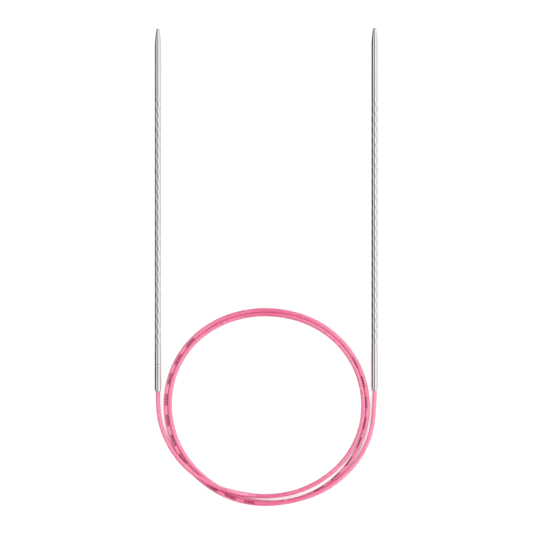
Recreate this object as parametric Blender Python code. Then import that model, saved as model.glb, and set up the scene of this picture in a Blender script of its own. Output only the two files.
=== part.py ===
"""Circular knitting needle, lying flat: two twisted steel needles joined by one coiled plastic cord.

Metres, +Z up. The needles lie along Y with their points towards +Y, and the cord is coiled at -Y.
The origin is on the surface that the object lies on, below the middle of the two needles.
"""
from math import cos, dist, pi, radians, sin, sqrt

import bmesh
import bpy

MM = 0.001

# ---- driving dimensions ----

NEEDLE_LENGTH = 127 * MM
SHANK_DIAMETER = 2.25 * MM
BODY_DIAMETER = 2.16 * MM
CORD_DIAMETER = 1.45 * MM

# a needle's stretches, counted from its shank's end
SOCKET_DEPTH = 9 * MM
SHANK_LENGTH = 13.2 * MM
RIM_LENGTH = 1.5 * MM
TWIST_START = 14 * MM
TWIST_LENGTH = 90 * MM
TWIST_TURNS = 6.25
TWIST_FADE = 3 * MM
FLAT_DEPTH = 0.035 * MM
TAPER_LENGTH = 6 * MM
NOSE_RADIUS = 0.56 * MM
NOSE_CURVE = 1.4

# how the cord bends where it leaves a needle, counted along it from the shank's end
SWING_PIVOT = 2.5 * MM
LIFT_PIVOT = 7 * MM

# clearances
TOUCH_GAP = 0.3 * MM
CORD_TO_GLUE = 0.025 * MM
GLUE_TO_SOCKET = 0.02 * MM
GLUE_THICKNESS = 0.08 * MM

# how finely the meshes follow the shapes
NEEDLE_SIDES = 16
TWIST_STEP = 1.5 * MM
TAPER_STEPS = 6
COIL_STEP = 5
ROUTE_STEP = 4
TUBE_STEP = 2.4 * CORD_DIAMETER

# ---- sizes that follow ----

SHANK_RADIUS = SHANK_DIAMETER / 2
BODY_RADIUS = BODY_DIAMETER / 2
CORD_RADIUS = CORD_DIAMETER / 2
GLUE_BORE = CORD_RADIUS + CORD_TO_GLUE
SOCKET_RADIUS = GLUE_BORE + GLUE_THICKNESS + GLUE_TO_SOCKET
AXIS_Z = SHANK_RADIUS * cos(pi / NEEDLE_SIDES)

# ---- the cord's route ----

# from the left shank's end to the coil, and from the coil to the right shank's end
LEFT_LEAD = [
    (-37.9, -63.35), (-37.9, -66.0), (-37.8, -68.6), (-37.6, -71.2), (-37.15, -73.8), (-36.5, -76.3),
    (-35.6, -78.7),
]
RIGHT_LEAD = [
    (34.2, -83.7), (35.3, -81.3), (36.15, -78.9), (36.85, -76.3), (37.3, -73.6), (37.55, -70.8),
    (37.7, -68.0), (37.85, -65.5), (37.9, -63.05),
]

# The coil's middle line is a circle with a few long waves on it: (waves per turn, height, peak's angle).
COIL_CENTRE = (0.1 * MM, -68.5 * MM)
COIL_RADIUS = 33.85 * MM
COIL_WAVES = ((1, 0.09 * MM, 146), (2, 0.86 * MM, -2), (3, 0.11 * MM, 17), (4, 0.10 * MM, -40))

# The cord runs anticlockwise. Its sweep is its angle in degrees, counted on through the turns.
ROUTE_START = 200
ROUTE_END = 1052
COIL_START = 197
COIL_END = 1050
SECOND_PASS = 540
THIRD_PASS = 900
STEP_WIDTH = 0.02

# how far strands lie from the middle line, and their heights
BESIDE = CORD_RADIUS
LEAD_OFFSET = 3.25 * MM
INNER_BULGE = 1.40 * MM
UNDER_OFFSET = 1.22 * MM
OVER_OFFSET = 1.10 * MM
OUT_OFFSET = 3.10 * MM
LOW = CORD_RADIUS
HIGH = LOW + CORD_DIAMETER


def ease(x, start, end):
    """0 before start, 1 after end, and a smooth step between them."""
    t = min(max((x - start) / (end - start), 0.0), 1.0)
    return t * t * (3 - 2 * t)


def coil_outline(sweep):
    """The radius of the coil's middle line."""
    return COIL_RADIUS + sum(h * cos(n * radians(sweep - peak)) for n, h, peak in COIL_WAVES)


def strand(sweep):
    """How far the cord lies outside the coil's middle line, and its height, at a sweep."""
    if sweep < SECOND_PASS:
        # in over the other strands, then along the inside
        inwards = ease(sweep, 178, 262)
        back = ease(sweep, 296, 358)
        offset = LEAD_OFFSET - (LEAD_OFFSET + INNER_BULGE) * inwards + (INNER_BULGE - BESIDE) * back
        height = AXIS_Z + (HIGH - AXIS_Z) * ease(sweep, 196, 215) - (HIGH - LOW) * ease(sweep, 242, 264)
        return offset, height
    if sweep < THIRD_PASS:
        # from the inside to the outside, under the first and the third pass
        turn = sweep - 360
        outwards = ease(turn, 222, 292)
        back = ease(turn, 298, 360)
        return -BESIDE + (UNDER_OFFSET + BESIDE) * outwards - (UNDER_OFFSET - BESIDE) * back, LOW
    # along the outside, up onto the second pass, and off to the right needle
    turn = sweep - 720
    offset = BESIDE + (OVER_OFFSET - BESIDE) * ease(turn, 205, 260)
    offset += (OUT_OFFSET - OVER_OFFSET) * ease(turn, 274, 347)
    height = LOW + (HIGH - LOW) * ease(turn, 226, 262) - (HIGH - AXIS_Z) * ease(turn, 302, 328)
    return offset, height


def coil_point(sweep, offset, height):
    """A point on the coil, that far outside its middle line."""
    radius = coil_outline(sweep) + offset
    angle = radians(sweep)
    return (COIL_CENTRE[0] + radius * cos(angle), COIL_CENTRE[1] + radius * sin(angle), height)


def cord_route():
    """The route's points, from the left needle's shank to the right needle's."""
    left = [(x * MM, y * MM, AXIS_Z) for x, y in LEFT_LEAD]
    coil = [coil_point(sweep, *strand(sweep)) for sweep in range(ROUTE_START, ROUTE_END + 1, ROUTE_STEP)]
    right = [(x * MM, y * MM, AXIS_Z) for x, y in RIGHT_LEAD]
    return left + coil + right


def smooth_curve(points, steps=6):
    """A Catmull-Rom curve through points, with that many steps between each two."""
    before = tuple(2 * a - b for a, b in zip(points[0], points[1]))
    after = tuple(2 * a - b for a, b in zip(points[-1], points[-2]))
    padded = [before, *points, after]
    curve = []
    for p0, p1, p2, p3 in zip(padded, padded[1:], padded[2:], padded[3:]):
        for k in range(steps):
            t = k / steps
            curve.append(tuple(
                b + 0.5 * t * (c - a + t * (2 * a - 5 * b + 4 * c - d + t * (3 * (b - c) + d - a)))
                for a, b, c, d in zip(p0, p1, p2, p3)
            ))
    return [*curve, points[-1]]


def point_along(curve, at):
    """The point that far along the curve."""
    for a, b in zip(curve, curve[1:]):
        step = dist(a, b)
        if at <= step:
            break
        at -= step
    share = min(at / step, 1.0)
    return tuple(p + (q - p) * share for p, q in zip(a, b))


def stretch(curve, start, end):
    """Evenly spaced points on the curve, from start to end along it."""
    count = max(2, round((end - start) / TUBE_STEP) + 1)
    return [point_along(curve, start + (end - start) * n / (count - 1)) for n in range(count)]


def distance_to(curve, sweep):
    """How far along the curve, near its start, the cord reaches a sweep's angle."""
    target = coil_point(sweep, *strand(sweep))
    near = curve[: len(curve) // 8]
    last = min(range(len(near)), key=lambda k: dist(near[k], target))
    return sum(dist(a, b) for a, b in zip(near[:last], near[1:]))


# ---- materials ----

def material(name, colour, roughness, metallic):
    """A plain material for one object."""
    made = bpy.data.materials.new(name)
    made.use_nodes = True
    shader = made.node_tree.nodes["Principled BSDF"]
    shader.inputs["Base Color"].default_value = (*colour, 1)
    shader.inputs["Roughness"].default_value = roughness
    shader.inputs["Metallic"].default_value = metallic
    return made


def steel(name):
    return material(name, (0.62, 0.62, 0.60), 0.22, 1.0)


def pink_plastic(name):
    return material(name, (0.90, 0.17, 0.34), 0.35, 0.0)


def clear_glue(name):
    return material(name, (0.80, 0.76, 0.66), 0.40, 0.0)


# ---- making objects ----

def add(name, data, finish, parent, at):
    """Link an object at a place in the world, as a child of an empty if there is one."""
    made = bpy.data.objects.new(name, data)
    made.location = at
    if parent:
        made.parent = parent
        made.location = tuple(a - b for a, b in zip(at, world_place(parent)))
    if finish:
        data.materials.append(finish(name + "_finish"))
    bpy.context.scene.collection.objects.link(made)
    return made


def world_place(empty):
    """Where an unturned empty is in the world, through its parents."""
    place = tuple(empty.location)
    while empty.parent:
        empty = empty.parent
        place = tuple(a + b for a, b in zip(place, empty.location))
    return place


def loft(rings, name, closed=False):
    """A mesh through rings of points. It is capped at both ends, or closed on itself."""
    bm = bmesh.new()
    loops = [[bm.verts.new(point) for point in ring] for ring in rings]
    pairs = list(zip(loops, loops[1:]))
    if closed:
        pairs.append((loops[-1], loops[0]))
    else:
        bm.faces.new(loops[0])
        bm.faces.new(loops[-1])
    for loop, following in pairs:
        for k in range(len(loop)):
            last = k - 1
            bm.faces.new((loop[last], loop[k], following[k], following[last]))
    bmesh.ops.recalc_face_normals(bm, faces=bm.faces)
    mesh = bpy.data.meshes.new(name)
    bm.to_mesh(mesh)
    bm.free()
    mesh.shade_smooth()
    mesh.set_sharp_from_angle(angle=radians(35))
    return mesh


def tube(name, points, parent, at):
    """A stretch of cord through world points, as a round curve with filled caps."""
    curve = bpy.data.curves.new(name, "CURVE")
    curve.dimensions = "3D"
    curve.bevel_depth = CORD_RADIUS
    curve.bevel_resolution = 2
    curve.use_fill_caps = True
    spline = curve.splines.new("POLY")
    spline.points.add(len(points) - 1)
    for target, point in zip(spline.points, points):
        target.co = (*(a - b for a, b in zip(point, at)), 1)
    spline.use_smooth = True
    return add(name, curve, pink_plastic, parent, at)


# ---- the needles ----

def ring(radius, y, turned=0.0, flat_depth=0.0):
    """Points round the needle's axis. flat_depth presses four flats in, turned by that angle."""
    points = []
    for k in range(NEEDLE_SIDES):
        angle = 2 * pi * (k + 0.5) / NEEDLE_SIDES
        reach = radius - flat_depth * (1 + cos(4 * angle)) / 2
        points.append((reach * sin(angle + turned), y, reach * cos(angle + turned)))
    return points


def nose(from_tip):
    """The needle's radius near its point: a slim taper that ends in a round nose."""
    taper = BODY_RADIUS - (BODY_RADIUS - NOSE_RADIUS) * (1 - from_tip / TAPER_LENGTH) ** NOSE_CURVE
    if from_tip >= NOSE_RADIUS:
        return taper
    return taper * sqrt(1 - (1 - from_tip / NOSE_RADIUS) ** 2)


def needle_rings():
    """Rings from the socket's floor, out over the shank's rim and along the needle to its point."""
    rings = [ring(SOCKET_RADIUS, SOCKET_DEPTH), ring(SOCKET_RADIUS, 0)]
    rim = SHANK_RADIUS - SOCKET_RADIUS
    for share in (0.3, 0.75, 1.0):
        height = RIM_LENGTH * (1 - sqrt(1 - share ** 2))
        rings.append(ring(SOCKET_RADIUS + rim * share, height))
    rings.append(ring(SHANK_RADIUS, SHANK_LENGTH))
    steps = round(TWIST_LENGTH / TWIST_STEP)
    for n in range(steps + 1):
        along = TWIST_LENGTH * n / steps
        depth = FLAT_DEPTH * ease(min(along, TWIST_LENGTH - along), 0, TWIST_FADE)
        turned = 2 * pi * TWIST_TURNS * n / steps
        rings.append(ring(BODY_RADIUS, TWIST_START + along, turned, depth))
    for n in range(TAPER_STEPS):
        from_tip = TAPER_LENGTH * (1 - n / TAPER_STEPS) ** 1.3
        rings.append(ring(nose(from_tip), NEEDLE_LENGTH - from_tip, turned))
    for from_tip in (0.25 * NOSE_RADIUS, 0.03 * NOSE_RADIUS):
        rings.append(ring(nose(from_tip), NEEDLE_LENGTH - from_tip, turned))
    return rings


def glue_rings():
    """Rings round a thin sleeve in the socket: along its outside and back along its bore."""
    outside = GLUE_BORE + GLUE_THICKNESS
    start = TOUCH_GAP
    end = SOCKET_DEPTH - 2 * TOUCH_GAP
    return [ring(GLUE_BORE, start), ring(outside, start), ring(outside, end), ring(GLUE_BORE, end)]


# ---- the coil ----

def coil_section(angle):
    """The coil's outline at an angle: a bevelled box round the strands that lie there."""
    lying = [strand(sweep) for sweep in (angle, angle + 360, angle + 720) if COIL_START <= sweep <= COIL_END]
    inner = min(offset for offset, _ in lying) - CORD_RADIUS
    outer = max(offset for offset, _ in lying) + CORD_RADIUS
    top = max(height for _, height in lying) + CORD_RADIUS
    bevel = 0.6 * CORD_RADIUS
    outline = [
        (inner, bevel), (inner + bevel, 0), (outer - bevel, 0), (outer, bevel),
        (outer, top - bevel), (outer - bevel, top), (inner + bevel, top), (inner, top - bevel),
    ]
    return [coil_point(angle, offset, height) for offset, height in outline]


def coil_angles():
    """Even steps round the coil, and a pair of close ones where each lead joins it."""
    steps = [COIL_START % 360, COIL_END % 360]
    angles = {float(a) for a in range(0, 360, COIL_STEP)} - {float(a) for a in steps}
    for a in steps:
        angles |= {a - STEP_WIDTH, a + STEP_WIDTH}
    return sorted(angles)


# ---- the model ----

def make_side(side, curve, coil_sweep):
    """One needle with the cord in its socket, the axes that the cord bends about, and its lead."""
    lift_at = point_along(curve, LIFT_PIVOT)
    swing_at = point_along(curve, SWING_PIVOT)
    lift_axis = add(side + "_lift_axis", None, None, None, lift_at)
    swing_axis = add(side + "_swing_axis", None, None, lift_axis, swing_at)
    shank_end = curve[0]

    add(side + "_needle", loft(needle_rings(), side + "_needle"), steel, swing_axis, shank_end)
    glue = loft(glue_rings(), side + "_glue_sleeve", closed=True)
    add(side + "_glue_sleeve", glue, clear_glue, swing_axis, shank_end)

    in_socket = (shank_end[0], shank_end[1] + SOCKET_DEPTH - TOUCH_GAP, AXIS_Z)
    out_of_socket = stretch(curve, 0, SWING_PIVOT - TOUCH_GAP / 2)
    tube(side + "_cord_end", [in_socket, *out_of_socket], swing_axis, swing_at)
    neck = stretch(curve, SWING_PIVOT + TOUCH_GAP / 2, LIFT_PIVOT - TOUCH_GAP / 2)
    tube(side + "_cord_neck", neck, lift_axis, lift_at)
    lead = stretch(curve, LIFT_PIVOT + TOUCH_GAP / 2, distance_to(curve, coil_sweep) - TOUCH_GAP)
    tube(side + "_cord_lead", lead, None, lift_at)


def make_coil():
    sections = [coil_section(angle) for angle in coil_angles()]
    add("cord_coil", loft(sections, "cord_coil", closed=True), pink_plastic, None, (0, 0, 0))


def main():
    for old in list(bpy.data.objects):
        bpy.data.objects.remove(old)
    curve = smooth_curve(cord_route())
    make_side("left", curve, COIL_START)
    make_side("right", curve[::-1], COIL_END)
    make_coil()


main()
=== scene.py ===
"""Circular knitting needle, the visual model: twisted steel needles on a coiled pink plastic cord.

Metres, +Z up. The needles lie along Y with their points towards +Y, and the cord is coiled at -Y.
"""
from math import ceil, cos, pi, radians, sin, sqrt

import bpy
import numpy as np
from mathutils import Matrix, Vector


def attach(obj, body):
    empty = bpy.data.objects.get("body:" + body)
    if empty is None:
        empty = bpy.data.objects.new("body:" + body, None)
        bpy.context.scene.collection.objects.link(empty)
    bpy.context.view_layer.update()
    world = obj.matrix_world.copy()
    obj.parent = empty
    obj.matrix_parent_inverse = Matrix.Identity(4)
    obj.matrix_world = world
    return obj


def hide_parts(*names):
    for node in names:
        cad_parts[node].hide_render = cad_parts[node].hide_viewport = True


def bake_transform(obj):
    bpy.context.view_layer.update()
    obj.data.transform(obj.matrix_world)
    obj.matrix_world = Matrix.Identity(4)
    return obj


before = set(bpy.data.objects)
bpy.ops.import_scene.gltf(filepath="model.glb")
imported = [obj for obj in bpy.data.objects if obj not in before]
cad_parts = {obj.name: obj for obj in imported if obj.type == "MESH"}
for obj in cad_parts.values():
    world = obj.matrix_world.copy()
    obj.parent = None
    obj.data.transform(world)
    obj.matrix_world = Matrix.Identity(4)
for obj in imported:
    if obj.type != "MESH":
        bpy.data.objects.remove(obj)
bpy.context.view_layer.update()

MM = 0.001

# ---- sizes shared with the CAD model ----

NEEDLE_LENGTH = 127 * MM
SHANK_DIAMETER = 2.25 * MM
BODY_DIAMETER = 2.16 * MM
CORD_DIAMETER = 1.45 * MM
SOCKET_DEPTH = 9 * MM
SHANK_LENGTH = 13.2 * MM
RIM_LENGTH = 1.5 * MM
TWIST_START = 14 * MM
TWIST_LENGTH = 90 * MM
TWIST_TURNS = 6.25
TWIST_FADE = 3 * MM
FLAT_DEPTH = 0.035 * MM
TAPER_LENGTH = 6 * MM
NOSE_RADIUS = 0.56 * MM
NOSE_CURVE = 1.4
SWING_PIVOT = 2.5 * MM
LIFT_PIVOT = 7 * MM
SOCKET_RADIUS = 0.85 * MM

SHANK_RADIUS = SHANK_DIAMETER / 2
BODY_RADIUS = BODY_DIAMETER / 2
CORD_RADIUS = CORD_DIAMETER / 2
AXIS_Z = SHANK_RADIUS * cos(pi / 16)

# ---- the cord's route, as in the CAD model ----

LEFT_LEAD = [
    (-37.9, -63.35), (-37.9, -66.0), (-37.8, -68.6), (-37.6, -71.2), (-37.15, -73.8), (-36.5, -76.3),
    (-35.6, -78.7),
]
RIGHT_LEAD = [
    (34.2, -83.7), (35.3, -81.3), (36.15, -78.9), (36.85, -76.3), (37.3, -73.6), (37.55, -70.8),
    (37.7, -68.0), (37.85, -65.5), (37.9, -63.05),
]
COIL_CENTRE = (0.1 * MM, -68.5 * MM)
COIL_RADIUS = 33.85 * MM
COIL_WAVES = ((1, 0.09 * MM, 146), (2, 0.86 * MM, -2), (3, 0.11 * MM, 17), (4, 0.10 * MM, -40))
ROUTE_START = 200
ROUTE_END = 1052
ROUTE_STEP = 4
SECOND_PASS = 540
THIRD_PASS = 900
BESIDE = CORD_RADIUS
LEAD_OFFSET = 3.25 * MM
INNER_BULGE = 1.40 * MM
UNDER_OFFSET = 1.22 * MM
OVER_OFFSET = 1.10 * MM
OUT_OFFSET = 3.10 * MM
LOW = CORD_RADIUS
HIGH = LOW + CORD_DIAMETER


def ease(x, start, end):
    """0 before start, 1 after end, and a smooth step between them."""
    t = min(max((x - start) / (end - start), 0.0), 1.0)
    return t * t * (3 - 2 * t)


def coil_outline(sweep):
    """The radius of the coil's middle line."""
    return COIL_RADIUS + sum(h * cos(n * radians(sweep - peak)) for n, h, peak in COIL_WAVES)


def strand(sweep):
    """How far the cord lies outside the coil's middle line, and its height, at a sweep."""
    if sweep < SECOND_PASS:
        # in over the other strands, then along the inside
        inwards = ease(sweep, 178, 262)
        back = ease(sweep, 296, 358)
        offset = LEAD_OFFSET - (LEAD_OFFSET + INNER_BULGE) * inwards + (INNER_BULGE - BESIDE) * back
        height = AXIS_Z + (HIGH - AXIS_Z) * ease(sweep, 196, 215) - (HIGH - LOW) * ease(sweep, 242, 264)
        return offset, height
    if sweep < THIRD_PASS:
        # from the inside to the outside, under the first and the third pass
        turn = sweep - 360
        outwards = ease(turn, 222, 292)
        back = ease(turn, 298, 360)
        return -BESIDE + (UNDER_OFFSET + BESIDE) * outwards - (UNDER_OFFSET - BESIDE) * back, LOW
    # along the outside, up onto the second pass, and off to the right needle
    turn = sweep - 720
    offset = BESIDE + (OVER_OFFSET - BESIDE) * ease(turn, 205, 260)
    offset += (OUT_OFFSET - OVER_OFFSET) * ease(turn, 274, 347)
    height = LOW + (HIGH - LOW) * ease(turn, 226, 262) - (HIGH - AXIS_Z) * ease(turn, 302, 328)
    return offset, height


def coil_point(sweep, offset, height):
    """A point on the coil, that far outside its middle line."""
    radius = coil_outline(sweep) + offset
    angle = radians(sweep)
    return (COIL_CENTRE[0] + radius * cos(angle), COIL_CENTRE[1] + radius * sin(angle), height)


def cord_route():
    """The route's points, from the left needle's shank to the right needle's."""
    left = [(x * MM, y * MM, AXIS_Z) for x, y in LEFT_LEAD]
    coil = [coil_point(sweep, *strand(sweep)) for sweep in range(ROUTE_START, ROUTE_END + 1, ROUTE_STEP)]
    right = [(x * MM, y * MM, AXIS_Z) for x, y in RIGHT_LEAD]
    return left + coil + right


def smooth_curve(points, steps=6):
    """A Catmull-Rom curve through points, with that many steps between each two."""
    before = tuple(2 * a - b for a, b in zip(points[0], points[1]))
    after = tuple(2 * a - b for a, b in zip(points[-1], points[-2]))
    padded = [before, *points, after]
    curve = []
    for p0, p1, p2, p3 in zip(padded, padded[1:], padded[2:], padded[3:]):
        for k in range(steps):
            t = k / steps
            curve.append(tuple(
                b + 0.5 * t * (c - a + t * (2 * a - 5 * b + 4 * c - d + t * (3 * (b - c) + d - a)))
                for a, b, c, d in zip(p0, p1, p2, p3)
            ))
    return [*curve, points[-1]]


class Line:
    """The cord's centreline, measured along from the left shank's end: negative in its socket."""

    def __init__(self, curve, hidden):
        first = np.array(curve[0]) + (0, hidden, 0)
        last = np.array(curve[-1]) + (0, hidden, 0)
        self.points = np.vstack([first, curve, last])
        steps = np.linalg.norm(np.diff(self.points, axis=0), axis=1)
        self.along = np.concatenate([[0], np.cumsum(steps)]) - hidden
        self.length = self.along[-1] - hidden

    def at(self, distances):
        """Points that far along."""
        return np.stack([np.interp(distances, self.along, self.points[:, k]) for k in range(3)], axis=1)

    def frames(self, distances):
        """Points that far along, with the directions out to the side and up there."""
        reach = 0.5 * MM
        ahead = self.at(np.minimum(distances + reach, self.along[-1]))
        behind = self.at(np.maximum(distances - reach, self.along[0]))
        tangents = unit(ahead - behind)
        sides = unit(np.cross(tangents, (0, 0, 1)))
        return self.at(distances), sides, np.cross(sides, tangents)


def unit(vectors):
    return vectors / np.linalg.norm(vectors, axis=1, keepdims=True)


# ---- meshes ----

def loft(name, rings, closed=False):
    """A mesh through rings of points, an array of rings by points by 3. Capped, or closed on itself."""
    count, sides = rings.shape[:2]
    points = rings.reshape(-1, 3)
    faces = []
    for row in range(count if closed else count - 1):
        this = row * sides
        following = (row + 1) % count * sides
        for k in range(sides):
            last = (k - 1) % sides
            faces.append((this + last, this + k, following + k, following + last))
    if not closed:
        faces.append(tuple(range(sides)))
        faces.append(tuple(reversed(range((count - 1) * sides, count * sides))))
    mesh = bpy.data.meshes.new(name)
    mesh.from_pydata(points.tolist(), [], faces)
    mesh.validate()
    if signed_volume(points, faces) < 0:
        mesh.flip_normals()
    return mesh


def signed_volume(points, faces):
    """Six times the volume that faces close off: negative when they look inwards."""
    total = 0.0
    for face in faces:
        a = points[face[0]]
        for second, third in zip(face[1:], face[2:]):
            total += float(np.dot(a, np.cross(points[second], points[third])))
    return total


def piece(name, mesh, finish, sharp=35):
    """An object of the model."""
    mesh.shade_smooth()
    mesh.set_sharp_from_angle(angle=radians(sharp))
    made = bpy.data.objects.new(name, mesh)
    mesh.materials.append(finish)
    bpy.context.scene.collection.objects.link(made)
    return made


def set_values(mesh, name, values):
    """Store a number for each vertex, for a material to read."""
    made = mesh.attributes.new(name, "FLOAT", "POINT")
    made.data.foreach_set("value", np.asarray(values, np.float32).ravel())


def set_vectors(mesh, name, values):
    """Store a vector for each vertex, for a material to read."""
    made = mesh.attributes.new(name, "FLOAT_VECTOR", "POINT")
    made.data.foreach_set("vector", np.asarray(values, np.float32).ravel())


# ---- materials ----

class Shader:
    """A node material built up from named steps."""

    def __init__(self, name):
        self.material = bpy.data.materials.new(name)
        self.material.use_nodes = True
        self.tree = self.material.node_tree
        self.surface = self.tree.nodes["Principled BSDF"]

    def node(self, kind, **settings):
        made = self.tree.nodes.new(kind)
        for key, value in settings.items():
            setattr(made, key, value)
        return made

    def link(self, source, target):
        self.tree.links.new(source, target)

    def set(self, **values):
        for key, value in values.items():
            self.surface.inputs[key.replace("_", " ")].default_value = value

    def attribute(self, name, output):
        return self.node("ShaderNodeAttribute", attribute_name=name).outputs[output]

    def place(self, source, scale):
        """Coordinates stretched by a scale on each axis."""
        mapping = self.node("ShaderNodeMapping")
        mapping.inputs["Scale"].default_value = scale
        self.link(source, mapping.inputs["Vector"])
        return mapping.outputs["Vector"]

    def noise(self, coordinates, scale, detail=3.0, roughness=0.5):
        made = self.node("ShaderNodeTexNoise")
        made.inputs["Scale"].default_value = scale
        made.inputs["Detail"].default_value = detail
        made.inputs["Roughness"].default_value = roughness
        self.link(coordinates, made.inputs["Vector"])
        return made.outputs["Fac"]

    def spread(self, source, low, high, to_low, to_high):
        """A number carried from one range to another, and held at its ends."""
        made = self.node("ShaderNodeMapRange")
        for key, value in (("From Min", low), ("From Max", high), ("To Min", to_low), ("To Max", to_high)):
            made.inputs[key].default_value = value
        self.link(source, made.inputs["Value"])
        return made.outputs["Result"]

    def sum(self, first, second, kind="ADD"):
        made = self.node("ShaderNodeMath", operation=kind)
        for source, target in zip((first, second), made.inputs):
            if isinstance(source, (int, float)):
                target.default_value = source
            else:
                self.link(source, target)
        return made.outputs["Value"]

    def mix(self, factor, first, second):
        """A colour between two, which are colours or outputs."""
        made = self.node("ShaderNodeMix", data_type="RGBA")
        self.link(factor, made.inputs["Factor"])
        for source, target in ((first, made.inputs[6]), (second, made.inputs[7])):
            if isinstance(source, tuple):
                target.default_value = (*source, 1)
            else:
                self.link(source, target)
        return made.outputs[2]

    def bump(self, height, depth, strength=1.0):
        made = self.node("ShaderNodeBump")
        made.inputs["Strength"].default_value = strength
        made.inputs["Distance"].default_value = depth
        self.link(height, made.inputs["Height"])
        self.link(made.outputs["Normal"], self.surface.inputs["Normal"])


def polished_steel():
    """Drawn steel wire, twisted and polished: lengthwise drawing marks, and duller in the hollows."""
    made = Shader("polished_steel")
    made.set(Metallic=1.0)
    place = made.node("ShaderNodeTexCoord").outputs["Object"]
    ridge = made.attribute("ridge", "Fac")
    drawn = made.noise(made.place(place, (9000, 260, 9000)), 1.0, 4.0, 0.6)
    cloud = made.noise(made.place(place, (420, 160, 420)), 1.0, 3.0)
    specks = made.noise(place, 5200, 2.0)

    tone = made.sum(made.spread(cloud, 0.3, 0.7, -0.06, 0.06), made.spread(drawn, 0.3, 0.7, -0.07, 0.07))
    tone = made.sum(tone, made.spread(ridge, 0.0, 1.0, 0.50, 0.70))
    colour = made.mix(tone, (0.52, 0.52, 0.51), (0.82, 0.82, 0.81))
    made.link(colour, made.surface.inputs["Base Color"])

    dull = made.sum(made.spread(ridge, 0.0, 1.0, 0.09, 0.06), made.spread(drawn, 0.3, 0.7, -0.015, 0.02))
    dull = made.sum(dull, made.spread(cloud, 0.35, 0.75, -0.01, 0.02))
    made.link(dull, made.surface.inputs["Roughness"])

    height = made.sum(made.sum(drawn, 0.6, "MULTIPLY"), made.sum(specks, 0.4, "MULTIPLY"))
    made.bump(height, 0.001 * MM, 0.3)
    return made.material


def pink_plastic():
    """Extruded hot pink plastic, a little translucent: faint lengthwise flow lines under a soft gloss."""
    made = Shader("pink_cord_plastic")
    lay = made.attribute("lay", "Vector")
    flow = made.noise(made.place(lay, (2600, 60, 2600)), 1.0, 3.0, 0.55)
    cloud = made.noise(made.place(lay, (300, 90, 300)), 1.0, 4.0)
    grain = made.noise(lay, 9000, 2.0)

    tone = made.sum(made.spread(cloud, 0.3, 0.7, 0.15, 0.6), made.spread(flow, 0.3, 0.7, 0.0, 0.4))
    colour = made.mix(tone, (0.86, 0.13, 0.29), (0.925, 0.25, 0.435))
    made.link(colour, made.surface.inputs["Base Color"])
    made.link(made.spread(cloud, 0.3, 0.7, 0.20, 0.30), made.surface.inputs["Roughness"])

    made.set(
        Transmission_Weight=0.4, Subsurface_Weight=0.3, Subsurface_Radius=(1.0, 0.3, 0.45),
        Subsurface_Scale=0.25 * MM, IOR=1.55,
        Coat_Weight=1.0, Coat_Roughness=0.16, Coat_IOR=2.1,
    )
    height = made.sum(made.sum(flow, 0.7, "MULTIPLY"), made.sum(grain, 0.3, "MULTIPLY"))
    made.bump(height, 0.006 * MM, 0.5)
    return made.material


def print_ink():
    """Dark crimson ink, laid on thin and a little uneven."""
    made = Shader("print_ink")
    place = made.node("ShaderNodeTexCoord").outputs["Object"]
    worn = made.noise(place, 4200, 3.0)
    colour = made.mix(made.spread(worn, 0.45, 0.75, 0.0, 1.0), (0.09, 0.0003, 0.018), (0.22, 0.0008, 0.046))
    made.link(colour, made.surface.inputs["Base Color"])
    made.link(made.spread(worn, 0.3, 0.7, 0.6, 0.85), made.surface.inputs["Roughness"])
    made.set(Specular_IOR_Level=0.03)
    return made.material


def etched_steel():
    """Laser marking on steel: a grey, matt, finely grained oxide."""
    made = Shader("etched_steel")
    made.set(Metallic=0.9)
    place = made.node("ShaderNodeTexCoord").outputs["Object"]
    grain = made.noise(place, 9000, 3.0)
    colour = made.mix(made.spread(grain, 0.3, 0.7, 0.0, 1.0), (0.32, 0.32, 0.32), (0.50, 0.50, 0.49))
    made.link(colour, made.surface.inputs["Base Color"])
    made.link(made.spread(grain, 0.3, 0.7, 0.35, 0.55), made.surface.inputs["Roughness"])
    return made.material


def set_adhesive():
    """Clear adhesive that has set with a slightly milky, glossy skin."""
    made = Shader("set_adhesive")
    place = made.node("ShaderNodeTexCoord").outputs["Object"]
    haze = made.noise(place, 1800, 3.0)
    colour = made.mix(made.spread(haze, 0.3, 0.7, 0.0, 1.0), (0.70, 0.62, 0.50), (0.86, 0.80, 0.70))
    made.link(colour, made.surface.inputs["Base Color"])
    made.link(made.spread(haze, 0.3, 0.7, 0.12, 0.25), made.surface.inputs["Roughness"])
    made.set(Subsurface_Weight=0.5, Subsurface_Radius=(1, 0.9, 0.7), Subsurface_Scale=0.2 * MM, IOR=1.5)
    return made.material


# ---- the stage ----

PHOTO_WIDTH = 186.5 * MM
VIEW_CENTRE = (0.03 * MM, -19.63 * MM)
CAMERA_HEIGHT = 0.6
SENSOR_WIDTH = 36


def make_camera():
    """A long lens straight above the object."""
    data = bpy.data.cameras.new("camera")
    data.sensor_width = SENSOR_WIDTH
    data.lens = SENSOR_WIDTH * (CAMERA_HEIGHT - AXIS_Z) / PHOTO_WIDTH
    data.clip_start = 0.05
    data.clip_end = 20
    made = bpy.data.objects.new("camera", data)
    made.location = (*VIEW_CENTRE, CAMERA_HEIGHT)
    bpy.context.scene.collection.objects.link(made)
    bpy.context.scene.camera = made


FLOOR_HALF = 3.0


def make_floor():
    """A plain white table that the object lies on. Reflections don't see it."""
    half = FLOOR_HALF
    low = AXIS_Z - SHANK_RADIUS
    corners = [(-half, -half, low), (half, -half, low), (half, half, low), (-half, half, low)]
    mesh = bpy.data.meshes.new("floor")
    mesh.from_pydata(corners, [], [(0, 1, 2, 3)])
    made = Shader("floor_white")
    made.set(Base_Color=(0.98, 0.98, 0.98, 1), Roughness=0.9)
    mesh.materials.append(made.material)
    floor = bpy.data.objects.new("floor", mesh)
    floor.visible_glossy = False
    bpy.context.scene.collection.objects.link(floor)


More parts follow.
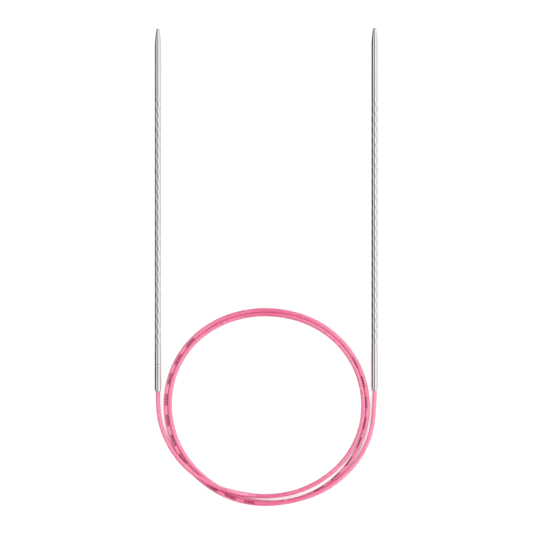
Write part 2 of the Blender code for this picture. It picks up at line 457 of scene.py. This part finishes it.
# an area lamp's watts for each square metre at a radiance of 1
LAMP_WATTS = 4


def softbox(name, tilt, turn, away, width, depth, radiance):
    """A soft lamp that faces the object, tilted from straight above towards a compass turn from +X."""
    data = bpy.data.lights.new(name, "AREA")
    data.shape = "RECTANGLE"
    data.size = width
    data.size_y = depth
    data.energy = LAMP_WATTS * radiance * width * depth
    made = bpy.data.objects.new(name, data)
    towards = Vector((sin(radians(tilt)) * cos(radians(turn)), sin(radians(tilt)) * sin(radians(turn)),
                      cos(radians(tilt))))
    made.location = Vector((*VIEW_CENTRE, 0)) + away * towards
    made.rotation_euler = towards.to_track_quat("Z", "Y").to_euler()
    made.visible_camera = False
    made.visible_glossy = False
    bpy.context.scene.collection.objects.link(made)


# The room's brightness at angles round the needles: 0 is straight up, 90 is to the right, 180 is down.
# The dark gap above stands for a camera and its stand.
ROOM_LEVELS = (
    (-180, 0.10), (-70, 0.10), (-61, 0.95), (-22, 1.15), (-18, 0.02), (12, 0.02), (16, 1.60), (44, 1.65),
    (54, 0.90), (96, 0.90), (120, 1.00), (180, 0.80),
)
# where the boards fade out along the needles, as a direction's Y, and how bright it is beyond them
BOARD_ENDS = (0.50, 0.95)
BEYOND_BOARDS = 0.4


def make_room():
    """White boards on both sides of the table, as the world's brightness. The camera sees plain white."""
    world = bpy.data.worlds.new("room")
    world.use_nodes = True
    bpy.context.scene.world = world
    nodes = world.node_tree.nodes
    links = world.node_tree.links
    background = nodes["Background"]
    background.inputs["Color"].default_value = (1, 1, 1, 1)
    direction = nodes.new("ShaderNodeTexCoord")
    split = nodes.new("ShaderNodeSeparateXYZ")
    links.new(direction.outputs["Generated"], split.inputs["Vector"])
    angle = nodes.new("ShaderNodeMath")
    angle.operation = "ARCTAN2"
    links.new(split.outputs["X"], angle.inputs[0])
    links.new(split.outputs["Z"], angle.inputs[1])
    across = nodes.new("ShaderNodeMapRange")
    across.inputs["From Min"].default_value = -pi
    across.inputs["From Max"].default_value = pi
    links.new(angle.outputs["Value"], across.inputs["Value"])
    level = nodes.new("ShaderNodeFloatCurve")
    level.mapping.use_clip = False
    points = level.mapping.curves[0].points
    for _ in ROOM_LEVELS[2:]:
        points.new(0.5, 0.5)
    for point, (at, brightness) in zip(points, ROOM_LEVELS):
        point.location = (at / 360 + 0.5, brightness)
        point.handle_type = "VECTOR"
    level.mapping.update()
    links.new(across.outputs["Result"], level.inputs["Value"])
    lean = nodes.new("ShaderNodeMath")
    lean.operation = "ABSOLUTE"
    links.new(split.outputs["Y"], lean.inputs[0])
    faded = nodes.new("ShaderNodeMapRange")
    faded.interpolation_type = "SMOOTHSTEP"
    for name, value in zip(("From Min", "From Max", "To Min", "To Max"), (*BOARD_ENDS, 1.0, BEYOND_BOARDS)):
        faded.inputs[name].default_value = value
    links.new(lean.outputs["Value"], faded.inputs["Value"])
    lit = nodes.new("ShaderNodeMath")
    lit.operation = "MULTIPLY"
    links.new(level.outputs["Value"], lit.inputs[0])
    links.new(faded.outputs["Result"], lit.inputs[1])
    seen = nodes.new("ShaderNodeLightPath")
    shown = nodes.new("ShaderNodeMix")
    links.new(seen.outputs["Is Camera Ray"], shown.inputs["Factor"])
    links.new(lit.outputs["Value"], shown.inputs["A"])
    shown.inputs["B"].default_value = 1.0
    links.new(shown.outputs["Result"], background.inputs["Strength"])


def make_lights():
    """Soft boxes overhead, behind and in front. They fill in, and the highlights come from the room."""
    softbox("overhead_box", 0, 0, 1.0, 1.2, 1.2, 1.45)
    softbox("back_box", 48, 112, 1.1, 0.9, 0.9, 1.0)
    softbox("front_box", 50, 270, 1.1, 0.9, 0.8, 0.7)


# ---- the cord ----

CORD_SIDES = 24
CORD_STEP = 0.6 * MM
BEND_STEP = 0.25 * MM
HIDDEN_CORD = 8.7 * MM
NECK_MIDDLE = (SWING_PIVOT + LIFT_PIVOT) / 2
LIFT_END = 10.6 * MM
# how far inside a bend the points at its ends are taken: at the lead, at the middle and at the shank
LEAD_MARGIN = 1 * MM
MIDDLE_MARGIN = 0.1 * MM
SHANK_MARGIN = 0.2 * MM
PATH_POINTS = 240


def cord_stretch(name, line, start, end, step, finish):
    """A length of the cord as a closed tube. It stores where each point would be on a straight cord."""
    count = max(2, ceil((end - start) / step) + 1)
    along = np.linspace(start, end, count)
    middles, sides, ups = line.frames(along)
    turns = np.arange(CORD_SIDES) * 2 * pi / CORD_SIDES
    out = np.sin(turns)[None, :, None] * sides[:, None] + np.cos(turns)[None, :, None] * ups[:, None]
    mesh = loft(name, middles[:, None] + CORD_RADIUS * out)
    lay = np.zeros((count, CORD_SIDES, 3))
    lay[..., 0] = CORD_RADIUS * np.sin(turns)
    lay[..., 1] = along[:, None]
    lay[..., 2] = CORD_RADIUS * np.cos(turns)
    set_vectors(mesh, "lay", lay)
    return piece(name, mesh, finish, 50)


def make_cord(line):
    """The cord, in one long length and two short ones at each needle, where it bends."""
    plastic = pink_plastic()
    main = cord_stretch("cord_main", line, LIFT_END, line.length - LIFT_END, CORD_STEP, plastic)
    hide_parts("cord_coil", "left_cord_lead", "right_cord_lead")
    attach(main, "cord")
    bends = []
    for side, place in (("left", lambda s: s), ("right", lambda s: line.length - s)):
        lift = cord_stretch(side + "_cord_lift_bend", line, *sorted((place(NECK_MIDDLE), place(LIFT_END))),
                            BEND_STEP, plastic)
        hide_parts(side + "_cord_neck")
        ends = line.at([place(LIFT_END - LEAD_MARGIN), place(NECK_MIDDLE + MIDDLE_MARGIN)])
        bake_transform(lift)
        swing = cord_stretch(side + "_cord_swing_bend", line,
                             *sorted((place(-HIDDEN_CORD), place(NECK_MIDDLE))), BEND_STEP, plastic)
        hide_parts(side + "_cord_end")
        ends = line.at([place(NECK_MIDDLE - MIDDLE_MARGIN), place(SHANK_MARGIN)])
        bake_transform(swing)
        bends += [lift, swing]
    marks = make_print(line)
    path = line.at(np.linspace(LIFT_END, line.length - LIFT_END, PATH_POINTS))
    line.at([0.0])[0]


# The print is plain, equal ticks in equal groups. A run has how far round the cord from its top it
# lies at its start and its end, and the sweeps round the coil where it starts and ends.
PRINT_RUNS = ((-48, -62, 659, 755), (-15, -22, 857, 979))
GROUP_PITCH = 12
GROUP_LENGTH = 6
TICK_WIDTH = 0.36 * MM
TICK_GAP = 0.24 * MM
TICK_REACH = 5
LINE_SAMPLES = 4000
SAMPLES_BEFORE_COIL = 400
INK_LOW = 0.004 * MM
INK_HIGH = 0.014 * MM


def make_print(line):
    """Groups of ticks along the cord, each tick a thin patch of ink."""
    first_sweep = ROUTE_START + ROUTE_STEP
    coil_start = np.array(coil_point(first_sweep, *strand(first_sweep)))
    samples = np.linspace(0, line.length, LINE_SAMPLES)
    points = line.at(samples)
    angles = np.unwrap(np.arctan2(points[:, 1] - COIL_CENTRE[1], points[:, 0] - COIL_CENTRE[0]))
    start = int(np.argmin(np.linalg.norm(points[:SAMPLES_BEFORE_COIL] - coil_start, axis=1)))
    angles += radians(first_sweep) - angles[start]
    verts = []
    faces = []
    for first_turn, last_turn, run_start, run_end in PRINT_RUNS:
        for sweep in range(run_start, run_end, GROUP_PITCH):
            share = (sweep - run_start) / (run_end - run_start)
            turn = first_turn + (last_turn - first_turn) * share
            at, end = np.interp(np.radians((sweep, sweep + GROUP_LENGTH)), angles, samples)
            while at < end:
                add_tick(line, at, turn, verts, faces)
                at += TICK_WIDTH + TICK_GAP
    mesh = bpy.data.meshes.new("cord_print_marks")
    mesh.from_pydata(verts, [], faces)
    made = piece("cord_print_marks", mesh, print_ink(), 50)
    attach(made, "cord")
    return made


def add_tick(line, at, turn, verts, faces):
    """One tick across the cord, as a thin closed patch on a few of its sides."""
    pitch = 360 / CORD_SIDES
    first = round(turn / pitch - TICK_REACH / 2)
    turns = np.radians((first + np.arange(TICK_REACH + 1)) * pitch)
    middles, sides, ups = line.frames(np.array([at, at + TICK_WIDTH]))
    out = np.sin(turns)[None, :, None] * sides[:, None] + np.cos(turns)[None, :, None] * ups[:, None]
    add_patch([middles[:, None] + (CORD_RADIUS + lift) * out for lift in (INK_LOW, INK_HIGH)], verts, faces)


def add_patch(layers, verts, faces):
    """A thin closed patch between two layers of points, each two rows long."""
    base = len(verts)
    row = layers[0].shape[1]
    for layer in layers:
        verts += layer.reshape(-1, 3).tolist()
    a, b, c, d = (base + n * row for n in range(4))
    for k in range(row - 1):
        faces.append((a + k, a + k + 1, b + k + 1, b + k))
        faces.append((c + k, d + k, d + k + 1, c + k + 1))
        faces.append((a + k, c + k, c + k + 1, a + k + 1))
        faces.append((b + k, b + k + 1, d + k + 1, d + k))
    last = row - 1
    faces.append((a, b, d, c))
    faces.append((a + last, c + last, d + last, b + last))


# ---- the needles ----

NEEDLE_SIDES = 64
TWIST_STEP = 0.25 * MM
# the socket's mouth: where its straight wall ends, and its small chamfer's width and height
MOUTH_START = 0.12 * MM
CHAMFER_WIDTH = 0.03 * MM
CHAMFER_HEIGHT = 0.02 * MM
RIM_SHARES = (0.2, 0.4, 0.6, 0.75, 0.87, 0.95, 1.0)


def nose(from_tip):
    """The needle's radius near its point: a slim taper that ends in a round nose."""
    taper = BODY_RADIUS - (BODY_RADIUS - NOSE_RADIUS) * (1 - from_tip / TAPER_LENGTH) ** NOSE_CURVE
    if from_tip >= NOSE_RADIUS:
        return taper
    return taper * sqrt(1 - (1 - from_tip / NOSE_RADIUS) ** 2)


def round_ring(radius, y, turned=0.0):
    """A round section of the needle, and its ridge value at each point."""
    angles = np.arange(NEEDLE_SIDES) * 2 * pi / NEEDLE_SIDES + turned
    ring = np.stack([radius * np.sin(angles), np.full(NEEDLE_SIDES, y), radius * np.cos(angles)], axis=1)
    return ring, np.ones(NEEDLE_SIDES)


def flat_ring(y, turned, depth):
    """A section with four soft flats that deep, turned by an angle."""
    angles = np.arange(NEEDLE_SIDES) * 2 * pi / NEEDLE_SIDES
    pressed = (1 + np.cos(4 * angles)) / 2
    reach = BODY_RADIUS - depth * pressed
    turned_angles = angles + turned
    ring = np.stack(
        [reach * np.sin(turned_angles), np.full(NEEDLE_SIDES, y), reach * np.cos(turned_angles)], axis=1
    )
    return ring, 1 - pressed * depth / FLAT_DEPTH


def needle_rings():
    """Rings from the socket's floor, out over the shank's rim and along the needle to its point."""
    rings = [round_ring(SOCKET_RADIUS, SOCKET_DEPTH), round_ring(SOCKET_RADIUS, MOUTH_START)]
    rings.append(round_ring(SOCKET_RADIUS + CHAMFER_WIDTH, CHAMFER_HEIGHT))
    rim = SHANK_RADIUS - SOCKET_RADIUS
    for share in RIM_SHARES:
        rings.append(round_ring(SOCKET_RADIUS + rim * share, RIM_LENGTH * (1 - sqrt(1 - share ** 2))))
    for share in np.linspace(0.05, 0.97, 12):
        rings.append(round_ring(SHANK_RADIUS, RIM_LENGTH + (SHANK_LENGTH - RIM_LENGTH) * share))
    for share in np.linspace(0, 1, 7):
        radius = SHANK_RADIUS + (BODY_RADIUS - SHANK_RADIUS) * ease(share, 0, 1)
        rings.append(round_ring(radius, SHANK_LENGTH + (TWIST_START - SHANK_LENGTH) * share))
    steps = round(TWIST_LENGTH / TWIST_STEP)
    for n in range(1, steps + 1):
        along = TWIST_LENGTH * n / steps
        depth = FLAT_DEPTH * ease(min(along, TWIST_LENGTH - along), 0, TWIST_FADE)
        turned = 2 * pi * TWIST_TURNS * n / steps
        rings.append(flat_ring(TWIST_START + along, turned, depth))
    smooth_start = TWIST_START + TWIST_LENGTH
    smooth_end = NEEDLE_LENGTH - TAPER_LENGTH
    for share in np.linspace(0.06, 1, 12):
        rings.append(round_ring(BODY_RADIUS, smooth_start + (smooth_end - smooth_start) * share, turned))
    for share in np.linspace(0.06, 1, 22):
        from_tip = NOSE_RADIUS + (TAPER_LENGTH - NOSE_RADIUS) * (1 - share)
        rings.append(round_ring(nose(from_tip), NEEDLE_LENGTH - from_tip, turned))
    for angle in np.radians(np.arange(10, 88, 7)):
        from_tip = NOSE_RADIUS * (1 - sin(angle))
        rings.append(round_ring(nose(from_tip), NEEDLE_LENGTH - from_tip, turned))
    return rings


def make_needle(side, shank_end, steel):
    """One needle: a single twisted rod with a blind socket in its shank."""
    rings = needle_rings()
    mesh = loft(side + "_needle_rod", np.array([ring for ring, _ in rings]) + shank_end)
    set_values(mesh, "ridge", np.array([ridge for _, ridge in rings]))
    made = piece(side + "_needle_rod", mesh, steel, 40)
    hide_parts(side + "_needle")
    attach(made, side + "_needle")


GLUE_CLEARANCE = 0.006 * MM
GLUE_END = 8.4 * MM
# the rim at the mouth, in millimetres: its depth at the socket's wall, and how far it rises to the cord
RIM_DEPTH = 0.16
RIM_RISE = 0.26


def make_glue(side, shank_end, adhesive):
    """The sleeve of adhesive round the cord in its socket, with a hollowed rim at the mouth."""
    inner = CORD_RADIUS + GLUE_CLEARANCE
    outer = SOCKET_RADIUS - GLUE_CLEARANCE
    rings = []
    for share in np.linspace(0, 1, 8):
        radius = outer + (inner - outer) * share
        rings.append(round_ring(radius, (RIM_DEPTH - RIM_RISE * share ** 2) * MM)[0])
    rings.append(round_ring(inner, GLUE_END)[0])
    rings.append(round_ring(outer, GLUE_END)[0])
    mesh = loft(side + "_socket_glue", np.array(rings) + shank_end, closed=True)
    made = piece(side + "_socket_glue", mesh, adhesive, 40)
    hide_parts(side + "_glue_sleeve")
    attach(made, side + "_needle")


# the etched strokes on the left shank: how far from its end, and how far round it they reach each way
SHANK_MARKS = (5.5 * MM, 6.5 * MM, 7.5 * MM, 8.5 * MM, 9.5 * MM)
SHANK_MARK_WIDTH = 0.2 * MM
SHANK_MARK_REACH = 26
ETCH_LOW = 0.002 * MM
ETCH_HIGH = 0.006 * MM


def make_shank_marks(shank_end):
    """Plain etched strokes across the top of the left shank."""
    verts = []
    faces = []
    turns = np.radians(np.linspace(-SHANK_MARK_REACH, SHANK_MARK_REACH, 9))
    for at in SHANK_MARKS:
        layers = []
        for lift in (ETCH_LOW, ETCH_HIGH):
            radius = SHANK_RADIUS + lift
            rows = [
                np.stack([radius * np.sin(turns), np.full(len(turns), y), radius * np.cos(turns)], axis=1)
                for y in (at - SHANK_MARK_WIDTH / 2, at + SHANK_MARK_WIDTH / 2)
            ]
            layers.append(np.array(rows) + shank_end)
        add_patch(layers, verts, faces)
    mesh = bpy.data.meshes.new("left_shank_marks")
    mesh.from_pydata(verts, [], faces)
    made = piece("left_shank_marks", mesh, etched_steel(), 50)
    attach(made, "left_needle")


# ---- the model ----

bpy.context.scene.view_settings.view_transform = "Standard"
make_camera()
line = Line(smooth_curve(cord_route()), HIDDEN_CORD)
make_cord(line)
steel = polished_steel()
adhesive = set_adhesive()
for side, shank_end in zip(("left", "right"), line.at([0.0, line.length])):
    make_needle(side, shank_end, steel)
    make_glue(side, shank_end, adhesive)
make_shank_marks(line.at([0.0])[0])
make_floor()
make_room()
make_lights()
